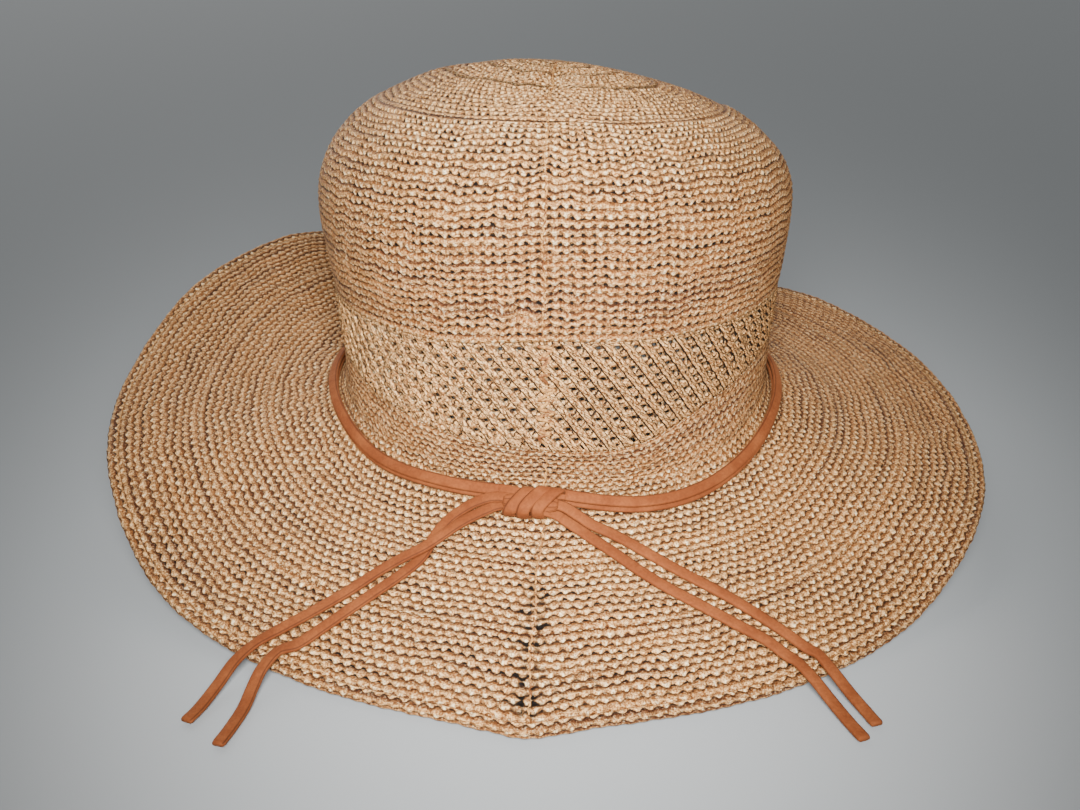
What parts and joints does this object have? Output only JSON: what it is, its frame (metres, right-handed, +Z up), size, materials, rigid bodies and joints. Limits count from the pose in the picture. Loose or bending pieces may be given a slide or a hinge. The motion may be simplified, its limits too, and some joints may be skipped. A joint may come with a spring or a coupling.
{
  "type": "woven sun hat",
  "caption": "Knitted sun hat with a tall round crown, a leaning openwork band, a wide wavy brim with a rolled edge, and a flat lace knotted round the crown's foot.",
  "frame": {"origin": "centre of the bottom of the hat's box, on the surface that it rests on, without the four lace ends", "axes": "+Z up through the crown, -Y toward the knot and the seam in front, +X to the right of someone who faces the knot"},
  "size_m": [0.354, 0.3534, 0.1728],
  "materials": {
    "knit": "matte knitted paper straw",
    "openwork": "matte twisted paper straw",
    "hem": "matte rolled knit",
    "lace": "matte suede"
  },
  "bodies": {
    "root": {"crown": "knit", "openwork_band": "openwork", "brim": "knit", "rim_hem": "hem", "band_lace_upper": "lace", "band_lace_lower": "lace", "knot": "lace", "tie_left_outer": "lace", "tie_left_inner": "lace", "tie_right_upper": "lace", "tie_right_lower": "lace"}
  },
  "joints": []
}
